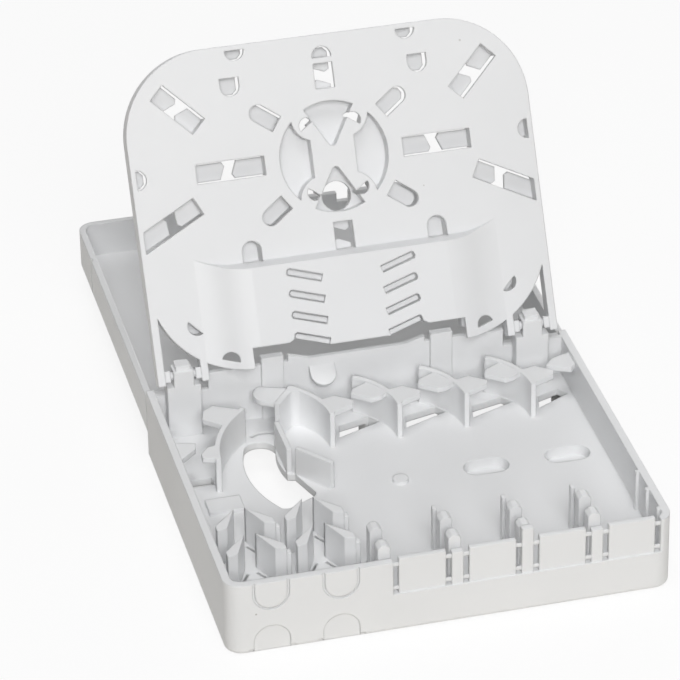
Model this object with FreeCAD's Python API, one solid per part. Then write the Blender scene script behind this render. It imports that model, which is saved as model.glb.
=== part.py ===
import FreeCAD, Part
import math
import os

# Fibre termination box, shown open: a wall base with four break-out ports, a cover hinged
# flat open behind it and a splice tray hinged up. Millimetres, Z up from the wall face,
# X along the port wall, Y from the port wall to the hinge. The front face is built at
# y = 0 and every node is moved at the end so that the origin is the middle of the wall face.

# Outer case
box_width = 100.0
box_depth = 81.6
rim_height = 17.9
wall = 1.8
corner_radius = 4.0
edge_round = 1.0
floor_top = 8.0
floor_thickness = 1.8
cover_height = 10.2
cover_drop = 1.7
cover_wall = 1.5
pry_inset = 18.4
pry_width = 1.0
rim_gap = 0.3
lap_gap = 0.3
rear_wall = 1.2
rear_wall_top = 22.2
rear_gap_inset = 2.0
stub_x = -9.3
stub_width = 6.0
stub_length = 5.5
stub_slope = 39.0
stub_root = 20.4
spine_rib = 1.6

# Cover hinge, one each side of the middle
hinge_gap = 0.5
hinge_offset = 28.0
knuckle_radius = 1.7
knuckle_length = 5.0
ear_thickness = 1.4
ear_foot = 2.0
hinge_pin_radius = 0.8
pin_play = 0.25
side_play = 0.3

# Break-out ports
port_count = 4
port_pitch = 15.7
last_port_inset = 9.55
plate_width = 10.45
plate_thickness = 1.2
slit_width = 1.35
sill_height = 9.6
port_step = 0.4
port_rise = 0.6
web_height = 0.9
web_thickness = 0.7
divider_width = 2.8
divider_top = 20.6
divider_bevel = 0.8
divider_rows = (2.8, 9.8)
divider_row_length = 2.8
rib_top = 19.2
rib_y = 15.6
rib_length = 1.6
rib_thickness = 0.9
latch_post_top = 21.0
latch_post_depth = 2.0

# Cable entries and their clamp blades
entry_inset = 9.9
entry_pitch = 15.4
entry_width = 8.1
entry_bottom = 10.8
groove_width = 0.5
groove_depth = 0.5
low_entry_top = 6.6
low_entry_depth = 0.6
blade_top = 17.0
blade_row_y = 12.6
blade_row_pitch = 10.3
floor_slit = 0.6

# Fibre guides on the floor
guide_top = 17.0
guide_thickness = 1.2
fin_top = 17.5
tab_thickness = 1.3
vane_pitch = 15.85
vane_radius = 16.5
vane_turn = 59.0
vane_setback = 16.4
last_vane_inset = 12.8
kidney_x = -26.0
kidney_setback = 24.1
guide_radius = 26.0
side_slot_inset = 2.8
side_slot_length = 5.0
screw_pad_length = 10.5
screw_pad_width = 6.0
screw_pad_depth = 2.6
screw_pad_floor = 1.0
screw_pad_skirt = 1.2
screw_pad_y = 45.3
screw_pad_pitch = 19.1

# Tray hinge
tray_axis_gap = 1.2
tray_axis_z = 23.5
tray_shift = -1.0
tray_lean = 27.8
tray_pin_radius = 1.0
tray_pin_play = 0.3
collar_side = 2.6
collar_length = 1.3
arm_end = 2.0
post_front = 1.9
post_back = 2.1
post_cap = 2.9

# Splice tray, drawn flat from its axis: X across, Y up the tray, Z toward its face
tray_side_gap = 1.03
tray_top = 72.6
tray_corner = 19.8
tray_face = 1.5
tray_sheet = 1.2
tray_back = 3.0
tray_rim = 1.2
arm_width = 1.77
finger_width = 1.7
post_span = 8.4
foot_width = 10.3
foot_end = 0.8
foot_step = 4.0
foot_relief = 1.6
bay_flat = 23.0
bay_rise = 3.0
bay_ease = 4.0
bay_top = 23.3
bay_draft = 1.2
bay_straight = 26.0
bay_end = 25.6
hub_radius = 13.9
hub_y = 44.6
hub_wall = 1.2
hub_floor = 1.2
hub_hole_radius = 3.4
hub_hole_drop = 9.2
keep_width = 4.5
keep_depth = 2.3
ray_width = 4.0
ray_length = 7.0
ray_gap = 1.3
keep_sheet = 1.1
keep_gap = 2.4
keep_slant = 0.8
keep_clear = 0.25
keep_bevel = 1.0
keep_root = 0.2
chevron_width = 1.8
chevron_length = 8.4
chevron_rows = 4
chevron_x = 11.05
chevron_top = 18.9
chevron_turn = 17.0
chevron_pitch = 4.9
finger_slit = 0.35
finger_sink = 0.9
finger_sheet = 0.6
finger_root = 0.6

# Positions that follow from the sizes above
half_width = box_width / 2
inner_half = half_width - wall
rear_outer = box_depth - cover_wall - lap_gap
rear_inner = rear_outer - rear_wall
axis_y = box_depth + hinge_gap / 2
cover_rim = rim_height - cover_drop
axis_z = (rim_height + rim_gap + cover_rim) / 2
last_port_x = half_width - last_port_inset
first_port_x = last_port_x - (port_count - 1) * port_pitch
port_opening = plate_width + 2 * slit_width
plate_top = rim_height + port_rise
latch_x = last_port_x - 1.5 * port_pitch
latch_half = (port_pitch - port_opening) / 2
last_vane_x = half_width - last_vane_inset
vane_y = rear_inner - vane_setback
kidney_y = rear_inner - kidney_setback
tray_axis_y = rear_inner - tray_axis_gap
tray_half = inner_half - tray_side_gap
arm_inner = tray_half - arm_width
finger_outer = arm_inner - post_span
finger_inner = finger_outer - finger_width
foot_inner = finger_inner - foot_width
bay_half = finger_inner + 0.2
V = FreeCAD.Vector


def box(x0, x1, y0, y1, z0, z1):
    return Part.makeBox(x1 - x0, y1 - y0, z1 - z0, V(x0, y0, z0))


def rod(x0, x1, y, z, radius):
    """A round bar along X."""
    return Part.makeCylinder(radius, x1 - x0, V(x0, y, z), V(1, 0, 0))


def face(*path):
    """A flat face from a path of points; a pair of points is an arc through the first."""
    edges = []
    here = V(*path[0], 0)
    for step in path[1:] + path[:1]:
        if isinstance(step[0], tuple):
            end = V(*step[1], 0)
            edges.append(Part.Arc(here, V(*step[0], 0), end).toShape())
        else:
            end = V(*step, 0)
            if end.distanceToPoint(here) > 1e-6:
                edges.append(Part.makeLine(here, end))
        here = end
    return Part.Face(Part.Wire(edges))


def rise(flat, z0, z1):
    """A flat face raised from z0 to z1."""
    solid = flat.copy()
    solid.translate(V(0, 0, z0))
    return solid.extrude(V(0, 0, z1 - z0))


def moved(points, x, y, flip=1):
    """Points shifted to a place, mirrored across it when flip is -1."""
    return [(x + flip * px, y + py) for px, py in points]


def bent(cx, cy, radius, start, stop, thickness):
    """A flat curved strip, angles in degrees, inside radius to radius plus thickness."""
    def at(r, a):
        return (cx + r * math.cos(math.radians(a)), cy + r * math.sin(math.radians(a)))
    mid = (start + stop) / 2
    out = radius + thickness
    return face(at(radius, start), (at(radius, mid), at(radius, stop)),
                at(out, stop), (at(out, mid), at(out, start)))


def strip(p, q, thickness):
    """A flat straight strip centred on the line from p to q."""
    length = math.hypot(q[0] - p[0], q[1] - p[1])
    nx = -(q[1] - p[1]) / length * thickness / 2
    ny = (q[0] - p[0]) / length * thickness / 2
    return face((p[0] + nx, p[1] + ny), (p[0] - nx, p[1] - ny),
                (q[0] - nx, q[1] - ny), (q[0] + nx, q[1] + ny))


def oblong(cx, cy, length, width):
    r = width / 2
    a = length / 2 - r
    return face((cx - a, cy - r), (cx + a, cy - r), ((cx + a + r, cy), (cx + a, cy + r)),
                (cx - a, cy + r), ((cx - a - r, cy), (cx - a, cy - r)))


def tongue(cx, length, width, up=1):
    """A strip from y = 0 with a round free end at y = length, downward when up is -1."""
    r = width / 2
    return face((cx - r, 0), (cx + r, 0), (cx + r, up * (length - r)),
                ((cx, up * length), (cx - r, up * (length - r))))


def stand(flat, y0, y1):
    """A face drawn in X and Z, made solid from y0 to y1."""
    solid = flat.copy()
    solid.rotate(V(0, 0, 0), V(1, 0, 0), 90)
    solid.translate(V(0, y1, 0))
    return solid.extrude(V(0, y0 - y1, 0))


def across(flat, x0, x1):
    """A face drawn in Y and Z, made solid from x0 to x1."""
    solid = flat.copy()
    solid.rotate(V(0, 0, 0), V(1, 1, 1), 120)
    solid.translate(V(x0, 0, 0))
    return solid.extrude(V(x1 - x0, 0, 0))


def join(solids):
    return solids[0].fuse(solids[1:]).removeSplitter()


def plan(x, y0, y1, radius):
    """The case outline with its two round corners at the y1 end."""
    side = 1 if y1 > y0 else -1
    k = radius * (1 - math.sqrt(0.5))
    return face((-x, y0), (x, y0), (x, y1 - side * radius),
                ((x - k, y1 - side * k), (x - radius, y1)), (radius - x, y1),
                ((k - x, y1 - side * k), (-x, y1 - side * radius)))


def shell():
    """Base walls, raised floor and rear wall between two cheeks, open at the back under the floor."""
    body = rise(plan(half_width, box_depth, 0, corner_radius), 0, rim_height)
    lower = [e for e in body.Edges if e.BoundBox.ZMax < 0.01 and e.BoundBox.YMin < box_depth - 1]
    body = body.makeFillet(edge_round, lower)
    room = plan(inner_half, rear_inner, wall, corner_radius - wall)
    floor_under = floor_top - floor_thickness
    gap_half = inner_half - rear_gap_inset
    body = body.cut([
        box(-gap_half, gap_half, rear_inner - 1, rear_outer + 1, -1, floor_under),
        rise(room, floor_top, rim_height + 1),
        rise(room, -1, floor_under),
        box(-inner_half, inner_half, rear_outer, box_depth + 1, -1, rim_height + 1)])
    spine = box(-spine_rib / 2, spine_rib / 2, wall / 2, rear_inner, 0, floor_top - 0.1)
    return [body, spine]


def rear():
    """Tall part of the rear wall with its two tongues and the ramps beside them."""
    end = finger_inner - lap_gap
    tongue_in = 17.4
    tongue_out = 22.6
    tongue_top = rear_wall_top + 2.1
    parts = [box(-end, end, rear_inner, rear_outer, floor_top - 1, rear_wall_top)]
    for side in (-1, 1):
        low, high = sorted((side * tongue_in, side * tongue_out))
        parts.append(box(low, high, rear_inner - 0.7, rear_outer, floor_top - 1, tongue_top))
        ramp = face((side * 11.4, rear_wall_top - 0.2), (side * 16.2, rear_wall_top - 0.2),
                    (side * 16.2, rear_wall_top + 1.4), (side * 11.4, rear_wall_top))
        parts.append(stand(ramp, rear_inner, rear_outer))
    for part in parts:
        part.translate(V(tray_shift, 0, 0))
    stub = rise(tongue(stub_x, stub_length, stub_width, -1), -tab_thickness, 0)
    stub.rotate(V(0, 0, 0), V(1, 0, 0), stub_slope)
    stub.translate(V(0, rear_inner + 0.3, stub_root))
    parts.append(stub)
    return parts


def cover_hinge_base():
    """Ears and pins on the back of the rear wall for the cover's knuckles."""
    reach = knuckle_length / 2 + side_play
    r = knuckle_radius
    k = r * (math.sqrt(2) - 1)
    root = rear_outer - 0.2
    ear = face((root, axis_z - r - ear_foot), (axis_y, axis_z - r - ear_foot), (axis_y, axis_z - r),
               (axis_y + k, axis_z - r), (axis_y + r, axis_z - k), (axis_y + r, axis_z + k),
               (axis_y + k, axis_z + r), (axis_y - k, axis_z + r), (axis_y - r, axis_z + k),
               (root, axis_z + k))
    parts = []
    for side in (-1, 1):
        x = side * hinge_offset
        for near in (-1, 1):
            low, high = sorted((x + near * reach, x + near * (reach + ear_thickness)))
            parts.append(across(ear, low, high))
        span = reach + ear_thickness / 2
        parts.append(rod(x - span, x + span, axis_y, axis_z, hinge_pin_radius))
    return parts


def tray_posts():
    """Two posts that carry the tray's pins, with snap caps; returns solids and bores."""
    parts = []
    bores = []
    y0 = tray_axis_y - post_front
    low_top = tray_axis_z - collar_side * math.sqrt(0.5) - 0.3
    for side in (-1, 1):
        low, high = sorted((side * (finger_outer + side_play), side * (arm_inner - side_play)))
        parts.append(box(low, high, y0, rear_inner + rear_wall / 2, floor_top - 1, low_top))
        slim = collar_length + 2 * side_play
        inner, outer = sorted((side * (finger_outer + slim), side * (arm_inner - slim)))
        y1 = tray_axis_y + post_back
        top = tray_axis_z + 1.8
        parts.append(box(inner, outer, y0, y1, low_top - 2, top))
        parts.append(box(inner + 0.6, outer - 0.6, y0 + 0.8, y1, top - 1, tray_axis_z + post_cap))
        bores.append(rod(inner - 1, outer + 1, tray_axis_y, tray_axis_z, tray_pin_radius + tray_pin_play))
    for part in parts + bores:
        part.translate(V(tray_shift, 0, 0))
    return parts, bores


def port_wall():
    """Break-out plates on small webs, the posts between them and the adapter dividers."""
    cuts = [box(first_port_x - port_opening / 2, half_width - wall, -1, port_step,
                sill_height, rim_height + 1)]
    parts = []
    for i in range(port_count):
        x = first_port_x + i * port_pitch
        a = x - port_opening / 2
        b = x + port_opening / 2
        cuts.append(box(a, b, -1, wall + 1, sill_height, rim_height + 1))
        back = port_step + plate_thickness
        parts.append(box(x - plate_width / 2, x + plate_width / 2, port_step, back,
                         sill_height - 0.1, plate_top))
        web = port_step + web_thickness
        for z in (sill_height + 0.8, rim_height - 0.6 - web_height):
            parts.append(box(a - 0.1, b + 0.1, port_step + 0.2, web, z, z + web_height))
    for i in range(port_count):
        x = first_port_x + (i - 0.5) * port_pitch
        parts += divider(x, i > 0)
    parts.append(box(latch_x - latch_half, latch_x + latch_half, port_step, latch_post_depth,
                     sill_height, latch_post_top))
    for y in (5.0, 12.8, 20.0):
        parts.append(box(inner_half - 0.8, inner_half + 0.2, y - 0.5, y + 0.5, floor_top - 1, rim_height))
    return parts, cuts


def divider(x, ribbed):
    """One row of snap blocks behind a port post, with a rib except at the first port."""
    h = divider_width / 2
    k = divider_bevel
    section = face((x - h, floor_top - 1), (x + h, floor_top - 1), (x + h, divider_top - k),
                   (x + h - k, divider_top), (x - h + k, divider_top), (x - h, divider_top - k))
    parts = [stand(section, y, y + divider_row_length) for y in divider_rows]
    if ribbed:
        parts.append(box(x - 0.9 - rib_thickness / 2, x - 0.9 + rib_thickness / 2,
                         rib_y, rib_y + rib_length, floor_top - 1, rib_top))
    return parts


def entries():
    """Two cable entries: scored upper and sunk lower break-outs, clamp blades, floor slits."""
    parts = []
    cuts = []
    for i in range(2):
        x = -half_width + entry_inset + i * entry_pitch
        high = rim_height + 1
        ring = tongue(x, high - entry_bottom, entry_width, -1)
        ring = ring.cut(tongue(x, high - entry_bottom - groove_width,
                               entry_width - 2 * groove_width, -1))
        ring.translate(V(0, high, 0))
        cuts.append(stand(ring, -1, groove_depth))
        cuts.append(stand(tongue(x, low_entry_top, entry_width), -1, low_entry_depth))
        for side in (-1, 1):
            foot = x + side * (entry_width / 2 + 0.6)
            cuts.append(box(foot - 0.5, foot + 0.5, -1, low_entry_depth, -1, 1.0))
        for row in range(2):
            y = blade_row_y + row * blade_row_pitch
            for side in (-1, 1):
                plate = moved([(1.2, 7.6), (4.1, 0.9), (6.5, 0), (6.5, 2.2)], x, y, side)
                parts.append(rise(face(*plate), floor_top - 1, blade_top))
                p, q = moved([(3.5, 1.4), (1.0, 5.6)], x, y, side)
                cuts.append(rise(strip(p, q, floor_slit), 0.5, floor_top + 0.5))
            parts.append(box(x + 6.2, x + 7.6, y + 0.4, y + 2.0, floor_top - 1, blade_top - 1.5))
    parts.append(box(-inner_half + 4, -inner_half + 12, 42.0, 47.4, floor_top - 1, floor_top + 1))
    return parts, cuts


def kidney():
    """Outline of the cable opening through the floor."""
    return face((kidney_x - 4.6, kidney_y + 12.4),
                ((kidney_x - 6.5, kidney_y + 1.5), (kidney_x - 2, kidney_y - 13.5)),
                ((kidney_x - 0.6, kidney_y - 13.9), (kidney_x + 0.8, kidney_y - 13.4)),
                (kidney_x + 5.7, kidney_y - 10.9),
                ((kidney_x + 6.7, kidney_y - 9.9), (kidney_x + 6.6, kidney_y - 8.4)),
                (kidney_x + 4.1, kidney_y - 0.9), (kidney_x + 2.4, kidney_y - 0.4),
                ((kidney_x + 1.6, kidney_y + 5.5), (kidney_x + 2.3, kidney_y + 11)),
                ((kidney_x - 0.6, kidney_y + 14.1), (kidney_x - 4.6, kidney_y + 12.4)))


def nosed_vane(x):
    """Plan of the first vane, which runs round a nose to a leg beside the cable opening."""
    inner = vane_radius - guide_thickness

    def at(radius, turn):
        a = math.radians(turn)
        return (x - vane_radius + radius * math.cos(a), vane_y + radius * math.sin(a))

    tip, heel, end, toe, crook, fillet = moved(
        [(-7.1, 13.5), (-8.3, 12.6), (-12.3, 7.7), (-11.3, 6.9), (-7.9, 10.7), (-6.9, 11.1)], x, vane_y)
    return face(at(vane_radius, 0), (at(vane_radius, 25), at(vane_radius, 50)), (tip, heel), end, toe,
                crook, (fillet, at(inner, 45)), (at(inner, 22), at(inner, 0)))


def vane(x, first):
    """A curved fibre vane whose rear end rises to a fin, with a tab on each side."""
    flat = bent(x - vane_radius, vane_y, vane_radius - guide_thickness, 0, vane_turn, guide_thickness)
    body = rise(nosed_vane(x) if first else flat, floor_top - 1, fin_top)
    slope = face((vane_y - 2, guide_top), (vane_y + 5.5, guide_top), (rear_inner, fin_top),
                 (rear_inner, fin_top + 4), (vane_y - 2, fin_top + 4))
    body = body.cut(across(slope, x - 2 * vane_radius, x + 2 * vane_radius))
    right = moved([(-0.6, 0.4), (4.9, 2.7), (5.4, 4.4), (1.7, 7.4), (-1.9, 6.5)], x, vane_y)
    left = moved([(-10.3, 7.2), (-9.6, 8.9), (-5.0, 11.4), (-1.6, 6.2), (-3.8, 4.5), (-6.3, 3.9)],
                 x, vane_y)
    return body, tab(right), tab(left)


def tab(points):
    """A hold-down tab level with the top of the guides."""
    return rise(face(*points), guide_top - tab_thickness, guide_top)


def guides():
    """Vanes along the rear, the curved wall round the cable opening and the side tabs."""
    parts = []
    cuts = [rise(kidney(), -1, floor_top + 1)]
    for i in range(4):
        x = last_vane_x - (3 - i) * vane_pitch
        body, right, left = vane(x, i == 0)
        parts += [body, right]
        if i > 0:
            parts.append(left)
        reach = min(x + 12.3, inner_half - 1)
        bay = face((x + 1.8, vane_y + 3.4), (reach, vane_y + 7.5),
                   (reach - 1.9, vane_y + 10.2), (x + 3.0, vane_y + 8.3))
        cuts.append(rise(bay, -1, floor_top + 1))
    x = last_vane_x - 3 * vane_pitch
    front, bulge, back, root, leg = moved(
        [(-15.0, 9.6), (-16.1, 12.8), (-14.2, 15.6), (-7.7, 13.1), (-11.9, 7.9)], x, vane_y)
    parts.append(tab([front, (bulge, back), root, leg]))
    parts.append(rise(strip((kidney_x + 2.9, kidney_y + 11.6), (kidney_x + 3.0, kidney_y), 1.2),
                      floor_top - 1, guide_top - 2.5))
    parts.append(rise(strip((kidney_x + 4.6, kidney_y - 0.6), (kidney_x + 10.9, kidney_y - 8.6), 1.2),
                      floor_top - 1, guide_top - 2))
    parts.append(rise(bent(kidney_x + 12.6, kidney_y - 5.3, guide_radius, 128.4, 176, guide_thickness),
                      floor_top - 1, guide_top))
    parts.append(tab(moved([(-13.9, 13.3), (-13, 16.6), (-10.5, 18.2), (-5.2, 15.4), (-9.9, 9.6)],
                           kidney_x, kidney_y)))
    parts.append(tab(moved([(-17.3, -0.6), (-17.3, -2.4), (-14, -3.2), (-13, 2.2), (-15.4, 1.7)],
                           kidney_x, kidney_y)))
    side = -inner_half
    parts.append(tab(moved([(-0.2, 5.5), (4.7, 4.0), (4.2, 1.8), (-0.2, -2.1)], side, kidney_y)))
    slot = side + side_slot_inset
    cuts.append(box(slot, slot + side_slot_length, kidney_y - 0.1, kidney_y + 2.7, -1, floor_top + 1))
    side = inner_half
    parts.append(tab(moved([(-6.7, 6.8), (-1.3, 4.3), (0.2, 5.9), (0.2, 11.1), (-4.5, 9.4)],
                           side, vane_y)))
    cuts.append(rise(bent(kidney_x + 0.8, kidney_y + 13.2, 4.0, 50, 130, 0.9), -1, floor_top + 1))
    return parts, cuts


def screw_pads():
    """Closed oblong screw seats whose skirts bear on the wall, and the small locating boss."""
    parts = []
    cuts = []
    bottom = floor_top - screw_pad_depth
    for i in range(2):
        x = half_width - 10.4 - i * screw_pad_pitch
        skirt = oblong(x, screw_pad_y, screw_pad_length + 2 * screw_pad_skirt,
                       screw_pad_width + 2 * screw_pad_skirt)
        seat = oblong(x, screw_pad_y, screw_pad_length, screw_pad_width)
        parts.append(rise(skirt, 0, floor_top - 0.1))
        cuts.append(rise(seat, bottom, floor_top + 1))
        reach = screw_pad_length / 2 - screw_pad_skirt
        across_pad = screw_pad_width / 2 - screw_pad_skirt
        cuts.append(box(x - reach, x + reach, screw_pad_y - across_pad, screw_pad_y + across_pad,
                        -1, bottom - screw_pad_floor))
    boss = Part.makeCylinder(1.8, 1.8, V(0.3, screw_pad_y - 0.7, floor_top - 1))
    return parts + [boss], cuts


def base():
    post_parts, post_bores = tray_posts()
    port_parts, port_cuts = port_wall()
    entry_parts, entry_cuts = entries()
    guide_parts, guide_cuts = guides()
    pad_parts, pad_cuts = screw_pads()
    body = join(shell() + pad_parts)
    body = body.cut(port_cuts + entry_cuts + guide_cuts + pad_cuts)
    body = join([body] + rear() + cover_hinge_base() + post_parts + port_parts + entry_parts + guide_parts)
    return body.cut(post_bores).removeSplitter()


def cover():
    """Shallow lid lying open behind the base, hollow side up, with two hinge knuckles."""
    y0 = box_depth + hinge_gap
    y1 = y0 + box_depth
    z0 = cover_rim - cover_height
    body = rise(plan(half_width, y0, y1, corner_radius), z0, cover_rim)
    lower = [e for e in body.Edges if e.BoundBox.ZMax < z0 + 0.01 and e.BoundBox.YMax > y0 + 1]
    body = body.makeFillet(edge_round, lower)
    room = plan(half_width - cover_wall, y0 + cover_wall, y1 - cover_wall, corner_radius - cover_wall)
    cuts = [rise(room, z0 + cover_wall, cover_rim + 1)]
    first = first_port_x - port_opening / 2 - side_play
    last = last_port_x + port_opening / 2 + side_play
    cuts.append(box(first, last, y1 - cover_wall - 1, y1 + 1, cover_rim - port_rise, cover_rim + 1))
    cuts.append(box(latch_x - latch_half - side_play, latch_x + latch_half + side_play,
                    y1 - cover_wall - 1, y1 + 1, 2 * axis_z - latch_post_top - rim_gap, cover_rim + 1))
    cuts.append(box(-half_width - 1, groove_depth - half_width, y1 - pry_inset, y1 - pry_inset + pry_width,
                    z0 - 1, cover_rim + 1))
    knuckles = []
    bores = []
    reach = knuckle_length / 2
    for side in (-1, 1):
        x = side * hinge_offset
        knuckles.append(rod(x - reach, x + reach, axis_y, axis_z, knuckle_radius))
        bores.append(rod(x - reach - 1, x + reach + 1, axis_y, axis_z, hinge_pin_radius + pin_play))
        for near in (-1, 1):
            low, high = sorted((x + near * reach, x + near * (reach + ear_thickness + 2 * side_play)))
            cuts.append(box(low, high, y0 - 1, y0 + cover_wall + 1,
                            axis_z - knuckle_radius - rim_gap, cover_rim + 1))
    return join([body.cut(cuts)] + knuckles).cut(bores).removeSplitter()


def tray_outline():
    r = tray_corner
    k = r * (1 - math.sqrt(0.5))
    x = tray_half
    sweep = arm_inner - 7.4
    right = [(foot_inner, -foot_end), ((sweep, 3.6), (arm_inner, 13.5)), (x, 13.5), (x, tray_top - r),
             ((x - k, tray_top - k), (x - r, tray_top))]
    left = [(r - x, tray_top), ((k - x, tray_top - k), (-x, tray_top - r)), (-x, 13.5),
            (-arm_inner, 13.5), ((-sweep, 3.6), (-foot_inner, -foot_end))]
    c = math.cos(math.radians(chevron_turn))
    s = math.sin(math.radians(chevron_turn))
    a = chevron_length / 2
    w = chevron_width / 2
    last = chevron_top - (chevron_rows - 1) * chevron_pitch
    end = (chevron_x + 0.92 * a * c + 0.5 * w * s, last + 0.92 * a * s - 0.5 * w * c)
    root = (chevron_x - a * c + 0.7 * w * s, last - a * s - 0.7 * w * c)
    edge = [(foot_inner, foot_step), (end[0] + 1.5, foot_step), end, root]
    middle = [(-px, py) for px, py in edge] + edge[::-1]
    return face(*(right + left + middle))


def placed(flat, x, y, turn):
    """A face drawn about the origin, turned and set at x, y on the tray."""
    flat = flat.copy()
    flat.rotate(V(0, 0, 0), V(0, 0, 1), turn)
    flat.translate(V(x, y, 0))
    return flat


def half_moon(x, y, turn, width=keep_width, depth=keep_depth):
    h = width / 2
    return placed(face((-h, 0), (h, 0), ((0, depth), (-h, 0))), x, y, turn)


def keeper(flat):
    """The thin hold-down tab behind a hole of the tray."""
    return rise(flat, -tray_back, keep_sheet - tray_back)


def tab_behind(x, y, turn, width, length):
    """A tab with two cut corners behind a hole, a little smaller than the hole."""
    h = width / 2 - keep_clear
    k = keep_bevel
    end = length - keep_clear
    flat = face((-h, -keep_root), (h, -keep_root), (h, end - k), (h - k, end), (k - h, end), (-h, end - k))
    return keeper(placed(flat, x, y, turn))


def post_wall(x, y, turn, width):
    """A short wall behind the tray that carries a hold-down tab, from y to y + tray_rim."""
    flat = face((-width / 2, 0), (width / 2, 0), (width / 2, tray_rim), (-width / 2, tray_rim))
    return rise(placed(flat, x, y, turn), -tray_back, tray_face - 0.1)


def bar_hole(x, y, turn, length, side=1, rim_x=None):
    """A long slot with two tabs behind it that meet at a slanted gap, mirrored by side.

    The ends are square, but one end runs up to the tray's rim where rim_x is given."""
    c = math.cos(math.radians(turn))
    s = math.sin(math.radians(turn))

    def stop(end, off):
        if rim_x is None or end * rim_x < 0:
            return end * length / 2
        return (rim_x - x + off * s) / c

    w = keep_width / 2
    hole = placed(face((stop(-1, -w), -w), (stop(1, -w), -w), (stop(1, w), w), (stop(-1, w), w)), x, y, turn)
    w = side * (w - keep_clear)
    g = keep_gap / 2
    k = keep_slant
    round_off = keep_bevel / abs(w)
    parts = []
    for end in (-1, 1):
        tip = (end * (g - k), -end * w)
        heel = (end * (g + k), end * w)
        flat = face((stop(end, tip[1]) + end * keep_root, tip[1]), (tip[0] + end * keep_bevel, tip[1]),
                    (tip[0] + k * round_off * end, tip[1] * (1 - round_off)), heel,
                    (stop(end, heel[1]) + end * keep_root, heel[1]))
        parts.append(keeper(placed(flat, x, y, turn)))
        if rim_x is None or end * rim_x < 0:
            a = end * length / 2
            parts.append(post_wall(x + a * c, y + a * s, turn - 90 * end, keep_width))
    return hole, parts


def hub_pockets():
    """Outlines of the two side lenses and the two fans sunk into the hub."""
    r = hub_radius - hub_wall
    end = r * math.sqrt(0.5)
    flats = []
    for side in (-1, 1):
        lens = [(side * end, end), ((side * r, 0), (side * end, -end)),
                ((side * 7.6, -5.9), (side * 5.1, -4.3)), (side * 5.1, 4.3),
                ((side * 7.6, 5.9), (side * end, end))]
        flats.append(face(*lens))
        tip = math.sqrt(r * r - 5.8 * 5.8)
        fan = [(-5.8, side * tip), ((0, side * r), (5.8, side * tip)), (0.9, side * 3.0),
               ((0, side * 2.4), (-0.9, side * 3.0))]
        flats.append(face(*fan))
    return [placed(flat, 0, hub_y, 0) for flat in flats]


def hub():
    """Storage hub: a ring wall behind the sheet and four pockets; returns solids and cuts."""
    under = tray_face - tray_sheet / 2
    parts = [rise(placed(bent(0, 0, hub_radius - hub_wall, a, a + 180, hub_wall), 0, hub_y, 0),
                  -tray_back, under) for a in (0, 180)]
    cuts = []
    disc = Part.makeCylinder(hub_radius, tray_back + tray_face, V(0, hub_y, -tray_back))
    for flat in hub_pockets():
        cup = Part.Face(flat.OuterWire.makeOffset2D(hub_wall, 2))
        parts.append(rise(cup, -tray_back, under).common(disc))
        cuts.append(rise(flat, hub_floor - tray_back, tray_face + 1))
    hole = V(0, hub_y - hub_hole_drop, -2 * tray_back)
    cuts.append(Part.makeCylinder(hub_hole_radius, 4 * tray_back, hole))
    for turn in (35, 145, 215, 325):
        c = math.cos(math.radians(turn + 90))
        s = math.sin(math.radians(turn + 90))
        cuts.append(rise(half_moon(9.3 * c, hub_y + 9.3 * s, turn, 3.8, 1.9), -tray_back - 1, tray_face + 1))
    return parts, cuts


def splice_bay():
    """Outer and inner forms of the raised splice bay, with flowing sides and a drafted top."""
    run = bay_half - bay_flat
    slope = math.atan2(bay_rise, run)
    sag = math.hypot(run, bay_rise) / 4 * math.tan((slope - math.radians(bay_ease)) / 2)
    dx = sag * math.sin(slope)
    dz = sag * math.cos(slope)
    lift = bay_end - bay_top
    side = bay_half - bay_straight
    radius = (side * side + lift * lift) / (2 * lift)
    half_turn = math.atan2(side, radius - lift) / 2
    bend = (bay_straight + radius * math.sin(half_turn), bay_top + radius * (1 - math.cos(half_turn)))

    def form(low, back):
        high = low + bay_rise
        mid = (bay_half + bay_flat) / 2
        fillet = (bay_half - run / 4 - dx, low + bay_rise / 4 - dz)
        crown = (bay_flat + run / 4 + dx, high - bay_rise / 4 + dz)
        section = face((-bay_half, low), (bay_half, low), (fillet, (mid, low + bay_rise / 2)),
                       (crown, (bay_flat, high)), (-bay_flat, high),
                       ((-crown[0], crown[1]), (-mid, low + bay_rise / 2)),
                       ((-fillet[0], fillet[1]), (-bay_half, low)))
        above = face((-bay_half, bay_end), ((-bend[0], bend[1]), (-bay_straight, bay_top)),
                     (bay_straight, bay_top), (bend, (bay_half, bay_end)),
                     (bay_half + 1, bay_end), (bay_half + 1, tray_top), (-bay_half - 1, tray_top),
                     (-bay_half - 1, bay_end))
        above.translate(V(0, bay_draft - back, low - bay_rise))
        return stand(section, -3, bay_end).cut(above.extrude(V(0, -3 * bay_draft, 3 * bay_rise)))

    return form(tray_face, 0), form(tray_face - tray_sheet, tray_sheet)


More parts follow.
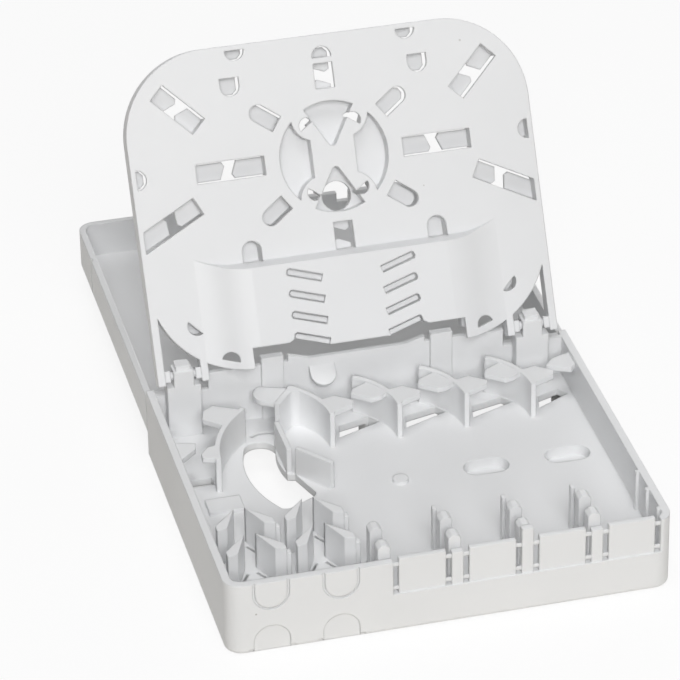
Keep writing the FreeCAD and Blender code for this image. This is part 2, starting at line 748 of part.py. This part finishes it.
def tray_holes():
    """Every hole of the tray with the tabs and small walls behind it."""
    holes = []
    parts = []
    inside = tray_half - tray_rim
    for side in (-1, 1):
        for x, y, turn, width, depth in ((20, tray_top - tray_rim, 180, keep_width, keep_depth),
                                         (inside, 45.0, 90, keep_width, keep_depth),
                                         (arm_inner - 8.45, 10.2, 225, 4.3, 1.65)):
            holes.append(half_moon(side * x, y, side * turn, width, depth))
            parts.append(tab_behind(side * x, y, side * turn, width, depth))
        parts.append(post_wall(side * x, y, side * turn + 180, width))
        holes.append(half_moon(side * (finger_inner - 5.3), 1.7, side * 17, 4.0, 2.0))
        for x, y, turn, length in ((22, tray_top - 7.3, 180, 4.1), (21.8, bay_top - keep_root, 0, 4.9)):
            holes.append(placed(tongue(0, length, keep_width), side * x, y, turn))
            parts.append(tab_behind(side * x, y, turn, keep_width, length))
            parts.append(post_wall(side * x, y, turn + 180, keep_width))
        for x, y, turn, length, rim_x in ((tray_half - 12.57, tray_top - 12.9, 45, 12.4, None),
                                          (24.2, hub_y, 0, 16.0, None),
                                          (tray_half - 8.47, 34.4, -27, 13.6, side * inside)):
            hole, behind = bar_hole(side * x, y, side * turn, length, -side, rim_x)
            holes.append(hole)
            parts += behind
        for up in (54, 126):
            turn = side * up
            c = math.cos(math.radians(turn + 90))
            s = math.sin(math.radians(turn + 90))
            r = hub_radius + ray_gap
            holes.append(placed(tongue(0, ray_length, ray_width), r * c, hub_y + r * s, turn))
            r = hub_radius - hub_wall / 2
            length = ray_length + ray_gap + hub_wall / 2
            parts.append(tab_behind(r * c, hub_y + r * s, turn, ray_width, length))
    top = tray_top - 5.3
    holes.append(placed(tongue(0, 2.5, keep_width), 0, top, 0))
    parts += [tab_behind(0, top, 0, keep_width, 2.5), post_wall(0, top, 180, keep_width)]
    for y, length in ((tray_top - 9.5, 5.8), (26.5, 6.3)):
        hole, behind = bar_hole(0, y, 90, length)
        holes.append(hole)
        parts += behind
    return holes, parts


def chevrons():
    """Slots of the two ladders in the splice bay, and the thin springy finger in each slot."""
    high = tray_face + bay_rise
    top = high - finger_sink

    def blade(side, row, root, gap):
        a = chevron_length / 2
        w = chevron_width / 2 - gap
        k = w / 2
        flat = face((-side * (a + root), -w), (side * (a - gap - k), -w), (side * (a - gap), k - w),
                    (side * (a - gap), w - k), (side * (a - gap - k), w), (-side * (a + root), w))
        return placed(flat, side * chevron_x, chevron_top - row * chevron_pitch, side * chevron_turn)

    cuts = []
    fingers = []
    for side in (-1, 1):
        for row in range(chevron_rows):
            cuts.append(rise(blade(side, row, 0, 0), -1, high + 1))
            fingers.append(rise(blade(side, row, finger_root, finger_slit), top - finger_sheet, top))
    return cuts, fingers


def tray():
    """Splice tray, drawn flat and then leaned back about its pins."""
    under = tray_face - tray_sheet
    flat = tray_outline()
    rim = flat.cut(Part.Face(flat.OuterWire.makeOffset2D(-tray_rim)))
    outer, inner = splice_bay()
    bay = outer.common(rise(flat, 0, tray_face + bay_rise + 1))
    holes, keepers = tray_holes()
    hub_parts, hub_cuts = hub()
    body = join([rise(flat, under, tray_face), bay, rise(rim, -tray_back, tray_face - 0.1)] + hub_parts)
    body = body.cut([rise(h, under - 0.1, tray_face + bay_rise + 1) for h in holes])
    clear = box(-finger_inner, finger_inner, -foot_end - 1, foot_relief, -tray_back - 1, under)
    sill = rise(rim, -tray_back, tray_face + bay_rise - tray_sheet / 2)
    sill = sill.common(box(-foot_inner, foot_inner, foot_relief, 3 * tray_sheet + foot_relief,
                           -tray_back, tray_face + bay_rise))
    slots, fingers = chevrons()
    body = join([body.cut([inner, clear]), sill]).cut(slots + hub_cuts)
    parts = [body] + fingers + keepers
    for side in (-1, 1):
        low, high = sorted((side * arm_inner, side * tray_half))
        parts.append(box(low, high, -arm_end, 14.0, -arm_end, tray_face))
        low, high = sorted((side * finger_inner, side * finger_outer))
        parts.append(box(low, high, -arm_end, 4.5, -arm_end, tray_face))
        low, high = sorted((side * (finger_outer - 1), side * (arm_inner + 1)))
        parts.append(rod(low, high, 0, 0, tray_pin_radius))
        for a, b in ((finger_outer - 1, finger_outer + collar_length),
                     (arm_inner - collar_length, arm_inner + 1)):
            low, high = sorted((side * a, side * b))
            parts.append(box(low, high, -collar_side / 2, collar_side / 2, -collar_side / 2, collar_side / 2))
    body = join(parts)
    body.rotate(V(0, 0, 0), V(1, 0, 0), 90 - tray_lean)
    body.translate(V(tray_shift, tray_axis_y, tray_axis_z))
    return body


os.makedirs("parts", exist_ok=True)
for name, shape in (("base", base()), ("cover", cover()), ("splice_tray", tray())):
    shape.translate(V(0, -box_depth / 2, 0))
    if len(shape.Solids) != 1 or not shape.isValid():
        print(name, "has", len(shape.Solids), "solids, valid:", shape.isValid())
    shape.Solids[0].exportStep("parts/" + name + ".step")
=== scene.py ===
import math
import bpy
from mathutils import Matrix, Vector

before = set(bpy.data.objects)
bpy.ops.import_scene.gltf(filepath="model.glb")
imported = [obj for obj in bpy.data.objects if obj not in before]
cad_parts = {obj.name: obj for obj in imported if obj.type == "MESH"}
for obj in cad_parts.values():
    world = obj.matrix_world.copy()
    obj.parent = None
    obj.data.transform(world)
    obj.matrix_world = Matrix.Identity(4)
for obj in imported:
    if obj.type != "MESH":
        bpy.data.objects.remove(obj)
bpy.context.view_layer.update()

# Base: one white ABS moulding with walls, floor, port plates, clamp blades and fibre vanes.
# Injection moulded in one shot, with a fine satin skin from the tool and soft edges.
skin = bpy.data.node_groups.new("moulded_skin", "ShaderNodeTree")
for socket_name, socket_type, default in (
        ("Plastic", "NodeSocketColor", (0.8, 0.8, 0.8, 1)),
        ("Satin", "NodeSocketFloat", 0.4),
        ("Grain", "NodeSocketFloat", 1.0),
        ("Dust", "NodeSocketFloat", 1.0)):
    socket = skin.interface.new_socket(socket_name, in_out="INPUT", socket_type=socket_type)
    socket.default_value = default
for socket_name, socket_type in (("Color", "NodeSocketColor"), ("Roughness", "NodeSocketFloat"),
                                 ("Height", "NodeSocketFloat")):
    skin.interface.new_socket(socket_name, in_out="OUTPUT", socket_type=socket_type)


def skin_node(kind, place, **settings):
    """A node of the skin group at its place on the sheet."""
    node = skin.nodes.new(kind)
    node.location = place
    for key, value in settings.items():
        setattr(node, key, value)
    return node


def skin_link(source, output, target, socket):
    """A link between two nodes of the skin group, by the names of their sockets."""
    skin.links.new(source.outputs[output], target.inputs[socket])


given = skin_node("NodeGroupInput", (-900, 0))
result = skin_node("NodeGroupOutput", (900, 0))
where = skin_node("ShaderNodeTexCoord", (-900, -300))

# slow flow shading of the moulding, about 30 mm across
flow = skin_node("ShaderNodeTexNoise", (-600, 200))
flow.inputs["Scale"].default_value = 32
flow.inputs["Detail"].default_value = 2
skin_link(where, "Object", flow, "Vector")
flow_tone = skin_node("ShaderNodeMapRange", (-400, 200))
flow_tone.inputs["From Min"].default_value = 0.3
flow_tone.inputs["From Max"].default_value = 0.7
flow_tone.inputs["To Min"].default_value = 0.965
flow_tone.inputs["To Max"].default_value = 1.0
skin_link(flow, "Fac", flow_tone, "Value")
toned = skin_node("ShaderNodeVectorMath", (-200, 200), operation="SCALE")
skin_link(given, "Plastic", toned, 0)
skin_link(flow_tone, "Result", toned, "Scale")

# rare dull specks of dust, up to half a millimetre across: one in some of the 6 mm cells
speck_reach = 0.045
speck_share = 0.06
speck = skin_node("ShaderNodeTexVoronoi", (-600, -60))
speck.inputs["Scale"].default_value = 160
speck.inputs["Randomness"].default_value = 1
skin_link(where, "Object", speck, "Vector")
speck_near = skin_node("ShaderNodeMath", (-400, -60), operation="LESS_THAN")
speck_near.inputs[1].default_value = speck_reach
skin_link(speck, "Distance", speck_near, 0)
speck_pick = skin_node("ShaderNodeSeparateColor", (-400, -200))
skin_link(speck, "Color", speck_pick, "Color")
speck_rare = skin_node("ShaderNodeMath", (-220, -200), operation="LESS_THAN")
speck_rare.inputs[1].default_value = speck_share
skin_link(speck_pick, "Red", speck_rare, 0)
speck_mask = skin_node("ShaderNodeMath", (-60, -100), operation="MULTIPLY")
skin_link(speck_near, "Value", speck_mask, 0)
skin_link(speck_rare, "Value", speck_mask, 1)
speck_set = skin_node("ShaderNodeMath", (100, -100), operation="MULTIPLY")
skin_link(speck_mask, "Value", speck_set, 0)
skin_link(given, "Dust", speck_set, 1)
dusty = skin_node("ShaderNodeMix", (300, 150), data_type="RGBA")
dusty.inputs["B"].default_value = (0.52, 0.515, 0.50, 1)
skin_link(speck_set, "Value", dusty, "Factor")
skin_link(toned, "Vector", dusty, "A")
skin_link(dusty, "Result", result, "Color")

# fine grain of the tool, and a sheen that is a little uneven with the flow
tool_grain = skin_node("ShaderNodeTexNoise", (-600, -420))
tool_grain.inputs["Scale"].default_value = 2600
tool_grain.inputs["Detail"].default_value = 3
skin_link(where, "Object", tool_grain, "Vector")
grain_set = skin_node("ShaderNodeMath", (-200, -420), operation="MULTIPLY")
skin_link(tool_grain, "Fac", grain_set, 0)
skin_link(given, "Grain", grain_set, 1)
skin_link(grain_set, "Value", result, "Height")
sheen_shift = skin_node("ShaderNodeMapRange", (-200, -620))
sheen_shift.inputs["From Min"].default_value = 0.3
sheen_shift.inputs["From Max"].default_value = 0.7
sheen_shift.inputs["To Min"].default_value = -0.05
sheen_shift.inputs["To Max"].default_value = 0.05
skin_link(flow, "Fac", sheen_shift, "Value")
sheen = skin_node("ShaderNodeMath", (100, -620), operation="ADD")
skin_link(given, "Satin", sheen, 0)
skin_link(sheen_shift, "Result", sheen, 1)
skin_link(sheen, "Value", result, "Roughness")

case_white = (0.80, 0.805, 0.812)
edge_radius = 0.0005
grain_depth = 0.00003


def moulded_plastic(name, plastic, satin, grain, dust):
    """White moulded plastic, rougher with more satin, whose sharp edges catch light as if rounded."""
    paint = bpy.data.materials.new(name)
    paint.use_nodes = True
    nodes = paint.node_tree.nodes
    links = paint.node_tree.links
    shader = nodes["Principled BSDF"]
    shader.inputs["IOR"].default_value = 1.5
    shader.inputs["Specular IOR Level"].default_value = 0.25
    group = nodes.new("ShaderNodeGroup")
    group.node_tree = skin
    group.location = (-500, 0)
    group.inputs["Plastic"].default_value = plastic + (1,)
    group.inputs["Satin"].default_value = satin
    group.inputs["Grain"].default_value = grain
    group.inputs["Dust"].default_value = dust
    soft = nodes.new("ShaderNodeBevel")
    soft.location = (-500, -350)
    soft.samples = 6
    soft.inputs["Radius"].default_value = edge_radius
    bump = nodes.new("ShaderNodeBump")
    bump.location = (-250, -250)
    bump.inputs["Strength"].default_value = 0.25
    bump.inputs["Distance"].default_value = grain_depth
    links.new(soft.outputs["Normal"], bump.inputs["Normal"])
    links.new(group.outputs["Height"], bump.inputs["Height"])
    links.new(group.outputs["Color"], shader.inputs["Base Color"])
    links.new(group.outputs["Roughness"], shader.inputs["Roughness"])
    links.new(bump.outputs["Normal"], shader.inputs["Normal"])
    return paint


def dress(piece, paint):
    """Give one CAD piece its material."""
    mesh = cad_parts[piece].data
    mesh.materials.clear()
    mesh.materials.append(paint)


dress("base", moulded_plastic("base_white", case_white, satin=0.38, grain=1.0, dust=1.0))

# Cover: the shallow lid, the same white ABS, lying open with its hollow side up.
# A slightly smoother skin than the base, hung behind it on two knuckles.
dress("cover", moulded_plastic("cover_white", case_white, satin=0.36, grain=0.8, dust=0.7))

# Splice tray: thin perforated plate of white ABS, snapped onto its two posts.
# A finer, slightly glossier skin than the case, in a greyer white that is painted shade: it keeps the
# tray, which faces the lamps more, from reading brighter than the case.
tray_shaded_white = (0.725, 0.73, 0.74)
dress("splice_tray", moulded_plastic("tray_shaded_white", tray_shaded_white, satin=0.34, grain=0.7, dust=0.8))

# Studio: a plain pale floor in a white surround, with a large soft lamp at the front
# and a smaller one overhead, both before the tray, so that it shades what is behind it.
# A weak lamp low at the back keeps the far sides readable.


def seen_directly(nodes, links):
    """Output that is 1 for rays from the camera, off a gloss or through glass, and else 0."""
    path = nodes.new("ShaderNodeLightPath")
    seen = path.outputs["Is Camera Ray"]
    for other in ("Is Glossy Ray", "Is Transmission Ray"):
        either = nodes.new("ShaderNodeMath")
        either.operation = "MAXIMUM"
        links.new(seen, either.inputs[0])
        links.new(path.outputs[other], either.inputs[1])
        seen = either.outputs["Value"]
    return seen


floor_width = 6
floor_gap = 0.0001
floor_shine = 0.86
bpy.ops.object.select_all(action="DESELECT")
bpy.ops.mesh.primitive_plane_add(size=floor_width, location=(0, 0, -floor_gap))
floor = bpy.context.object
floor.name = "studio_floor"
floor_paint = bpy.data.materials.new("studio_white")
floor_paint.use_nodes = True
floor_nodes = floor_paint.node_tree.nodes
floor_links = floor_paint.node_tree.links
floor_nodes.clear()
floor_out = floor_nodes.new("ShaderNodeOutputMaterial")
floor_matt = floor_nodes.new("ShaderNodeBsdfDiffuse")
floor_glow = floor_nodes.new("ShaderNodeEmission")
floor_glow.inputs["Strength"].default_value = 1.0
floor_share = floor_nodes.new("ShaderNodeMath")
floor_share.operation = "MULTIPLY"
floor_share.inputs[1].default_value = floor_shine
floor_mix = floor_nodes.new("ShaderNodeMixShader")

# seen directly the floor is white, and it bounces a duller, warmer light onto the part
floor_tone = floor_nodes.new("ShaderNodeMix")
floor_tone.data_type = "RGBA"
floor_tone.inputs["A"].default_value = (0.68, 0.65, 0.59, 1)
floor_tone.inputs["B"].default_value = (0.97, 0.97, 0.97, 1)
floor_seen = seen_directly(floor_nodes, floor_links)
floor_links.new(floor_seen, floor_tone.inputs["Factor"])
floor_links.new(floor_tone.outputs["Result"], floor_matt.inputs["Color"])
floor_links.new(floor_seen, floor_share.inputs[0])
floor_links.new(floor_share.outputs["Value"], floor_mix.inputs["Fac"])
floor_links.new(floor_matt.outputs["BSDF"], floor_mix.inputs[1])
floor_links.new(floor_glow.outputs["Emission"], floor_mix.inputs[2])
floor_links.new(floor_mix.outputs["Shader"], floor_out.inputs["Surface"])
floor.data.materials.append(floor_paint)

world = bpy.data.worlds.new("studio")
world.use_nodes = True
bpy.context.scene.world = world
sky_nodes = world.node_tree.nodes
sky_links = world.node_tree.links
sky = sky_nodes["Background"]
sky.inputs["Color"].default_value = (1, 1, 1, 1)
sky_level = sky_nodes.new("ShaderNodeMapRange")
sky_level.inputs["To Min"].default_value = 0.14
sky_level.inputs["To Max"].default_value = 1.0
sky_links.new(seen_directly(sky_nodes, sky_links), sky_level.inputs["Value"])
sky_links.new(sky_level.outputs["Result"], sky.inputs["Strength"])


def lamp(name, place, aim, width, watts):
    """A round white soft lamp at a place, turned to its aim."""
    data = bpy.data.lights.new(name, "AREA")
    data.shape = "DISK"
    data.size = width
    data.energy = watts
    light = bpy.data.objects.new(name, data)
    light.location = place
    light.rotation_euler = (Vector(aim) - Vector(place)).to_track_quat("-Z", "Y").to_euler()
    bpy.context.collection.objects.link(light)


lamp("key_lamp", place=(-0.23, -1.87, 1.3), aim=(0, 0.02, 0.03), width=1.3, watts=36)
lamp("top_lamp", place=(-0.1, -0.15, 1.4), aim=(0, 0.02, 0), width=0.7, watts=5.5)
lamp("back_lamp", place=(1.0, 1.75, 0.3), aim=(0, 0.02, 0.03), width=1.0, watts=10)

# Camera: a long lens about 0.93 m away, where the photograph was taken from.
# Its place and turn were fitted to the straight edges of the box in the photograph.
lens = bpy.data.cameras.new("camera")
lens.lens = 218.694
lens.sensor_width = 36.0
lens.clip_start = 0.01
camera = bpy.data.objects.new("camera", lens)
camera.location = (-0.196553, -0.744501, 0.521991)
camera_turn = (58.365, 0.8126, -14.2679)
camera.rotation_euler = tuple(math.radians(angle) for angle in camera_turn)
bpy.context.collection.objects.link(camera)
bpy.context.scene.camera = camera

bpy.context.scene.view_settings.view_transform = "Standard"
